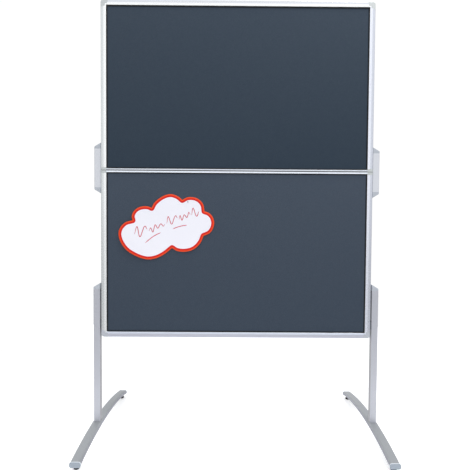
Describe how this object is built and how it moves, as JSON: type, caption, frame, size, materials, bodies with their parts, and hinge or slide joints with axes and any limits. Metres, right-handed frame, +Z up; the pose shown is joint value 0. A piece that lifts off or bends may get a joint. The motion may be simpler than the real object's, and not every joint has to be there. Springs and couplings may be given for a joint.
{
  "type": "folding pinboard",
  "caption": "Free-standing folding pinboard: felt panels in aluminium frames, hinged at mid-height between side posts on arched T-feet, with sliding locks, glides and a pinned card.",
  "frame": {"origin": "on the floor, below the middle of the board's width and the middle of the feet", "axes": "+Z up, the board's front looks towards -Y, +X to the right seen from the front; shortest extent along Y"},
  "size_m": [1.2876, 0.678, 1.9345],
  "materials": {
    "anodised_aluminium": "satin",
    "silver_paint": "satin",
    "felt": "matte",
    "board_core": "matte",
    "grey_plastic": "satin",
    "plug_plastic": "matte",
    "glide_pad": "matte",
    "card_paper": "matte",
    "pin_head": "gloss",
    "steel": "satin"
  },
  "bodies": {
    "stand": {"left_post": "silver_paint", "right_post": "silver_paint", "post_top_caps": "grey_plastic", "left_foot": "silver_paint", "right_foot": "silver_paint", "foot_end_caps": "grey_plastic", "post_base_plugs": "plug_plastic", "foot_bolts": "steel", "glide_inserts": "steel", "post_spacers": "grey_plastic", "post_hole_plugs": "grey_plastic", "post_clamp_screws": "steel", "frame_t_nuts": "steel", "lower_bottom_rail": "anodised_aluminium", "lower_left_rail": "anodised_aluminium", "lower_right_rail": "anodised_aluminium", "lower_mid_rail": "anodised_aluminium", "lower_corner_caps": "grey_plastic", "lower_mid_caps": "grey_plastic", "lower_core": "board_core", "lower_front_felt": "felt", "lower_back_felt": "felt", "lower_frame_screws": "steel", "hinge_lower_leaves": "steel", "hinge_lower_rivets": "steel", "hinge_pins": "steel"},
    "upper_board": {"upper_top_rail": "anodised_aluminium", "upper_left_rail": "anodised_aluminium", "upper_right_rail": "anodised_aluminium", "upper_mid_rail": "anodised_aluminium", "upper_corner_caps": "grey_plastic", "upper_mid_caps": "grey_plastic", "upper_core": "board_core", "upper_front_felt": "felt", "upper_back_felt": "felt", "upper_frame_screws": "steel", "hinge_upper_leaves": "steel", "hinge_upper_rivets": "steel"},
    "left_lock": {"left_lock_body": "silver_paint", "left_lock_caps": "grey_plastic", "left_lock_slider": "plug_plastic", "left_lock_screws": "steel"},
    "right_lock": {"right_lock_body": "silver_paint", "right_lock_caps": "grey_plastic", "right_lock_slider": "plug_plastic", "right_lock_screws": "steel"},
    "front_left_glide": {"front_left_glide_stud": "steel", "front_left_glide_pad": "glide_pad"},
    "front_right_glide": {"front_right_glide_stud": "steel", "front_right_glide_pad": "glide_pad"},
    "back_left_glide": {"back_left_glide_stud": "steel", "back_left_glide_pad": "glide_pad"},
    "back_right_glide": {"back_right_glide_stud": "steel", "back_right_glide_pad": "glide_pad"},
    "card": {"cloud_card": "card_paper", "card_pin": "pin_head"}
  },
  "joints": [
    {"name": "board_fold", "type": "hinge", "parent": "stand", "child": "upper_board", "pos_m": [0, -0.051, 1.1935], "axis": [-1, 0, 0], "range_deg": [0, 180]},
    {"name": "left_lock_slide", "type": "slide", "parent": "stand", "child": "left_lock", "axis": [0, 0, -1], "range_m": [0, 0.13]},
    {"name": "right_lock_slide", "type": "slide", "parent": "stand", "child": "right_lock", "axis": [0, 0, -1], "range_m": [0, 0.12]},
    {"name": "front_left_glide_screw", "type": "slide", "parent": "stand", "child": "front_left_glide", "axis": [0, 0, -1], "range_m": [0, 0.01]},
    {"name": "front_right_glide_screw", "type": "slide", "parent": "stand", "child": "front_right_glide", "axis": [0, 0, -1], "range_m": [0, 0.01]},
    {"name": "back_left_glide_screw", "type": "slide", "parent": "stand", "child": "back_left_glide", "axis": [0, 0, -1], "range_m": [0, 0.01]},
    {"name": "back_right_glide_screw", "type": "slide", "parent": "stand", "child": "back_right_glide", "axis": [0, 0, -1], "range_m": [0, 0.01]},
    {"name": "card_pull_off", "type": "slide", "parent": "stand", "child": "card", "axis": [0, -1, 0], "range_m": [0, 0.06]}
  ]
}
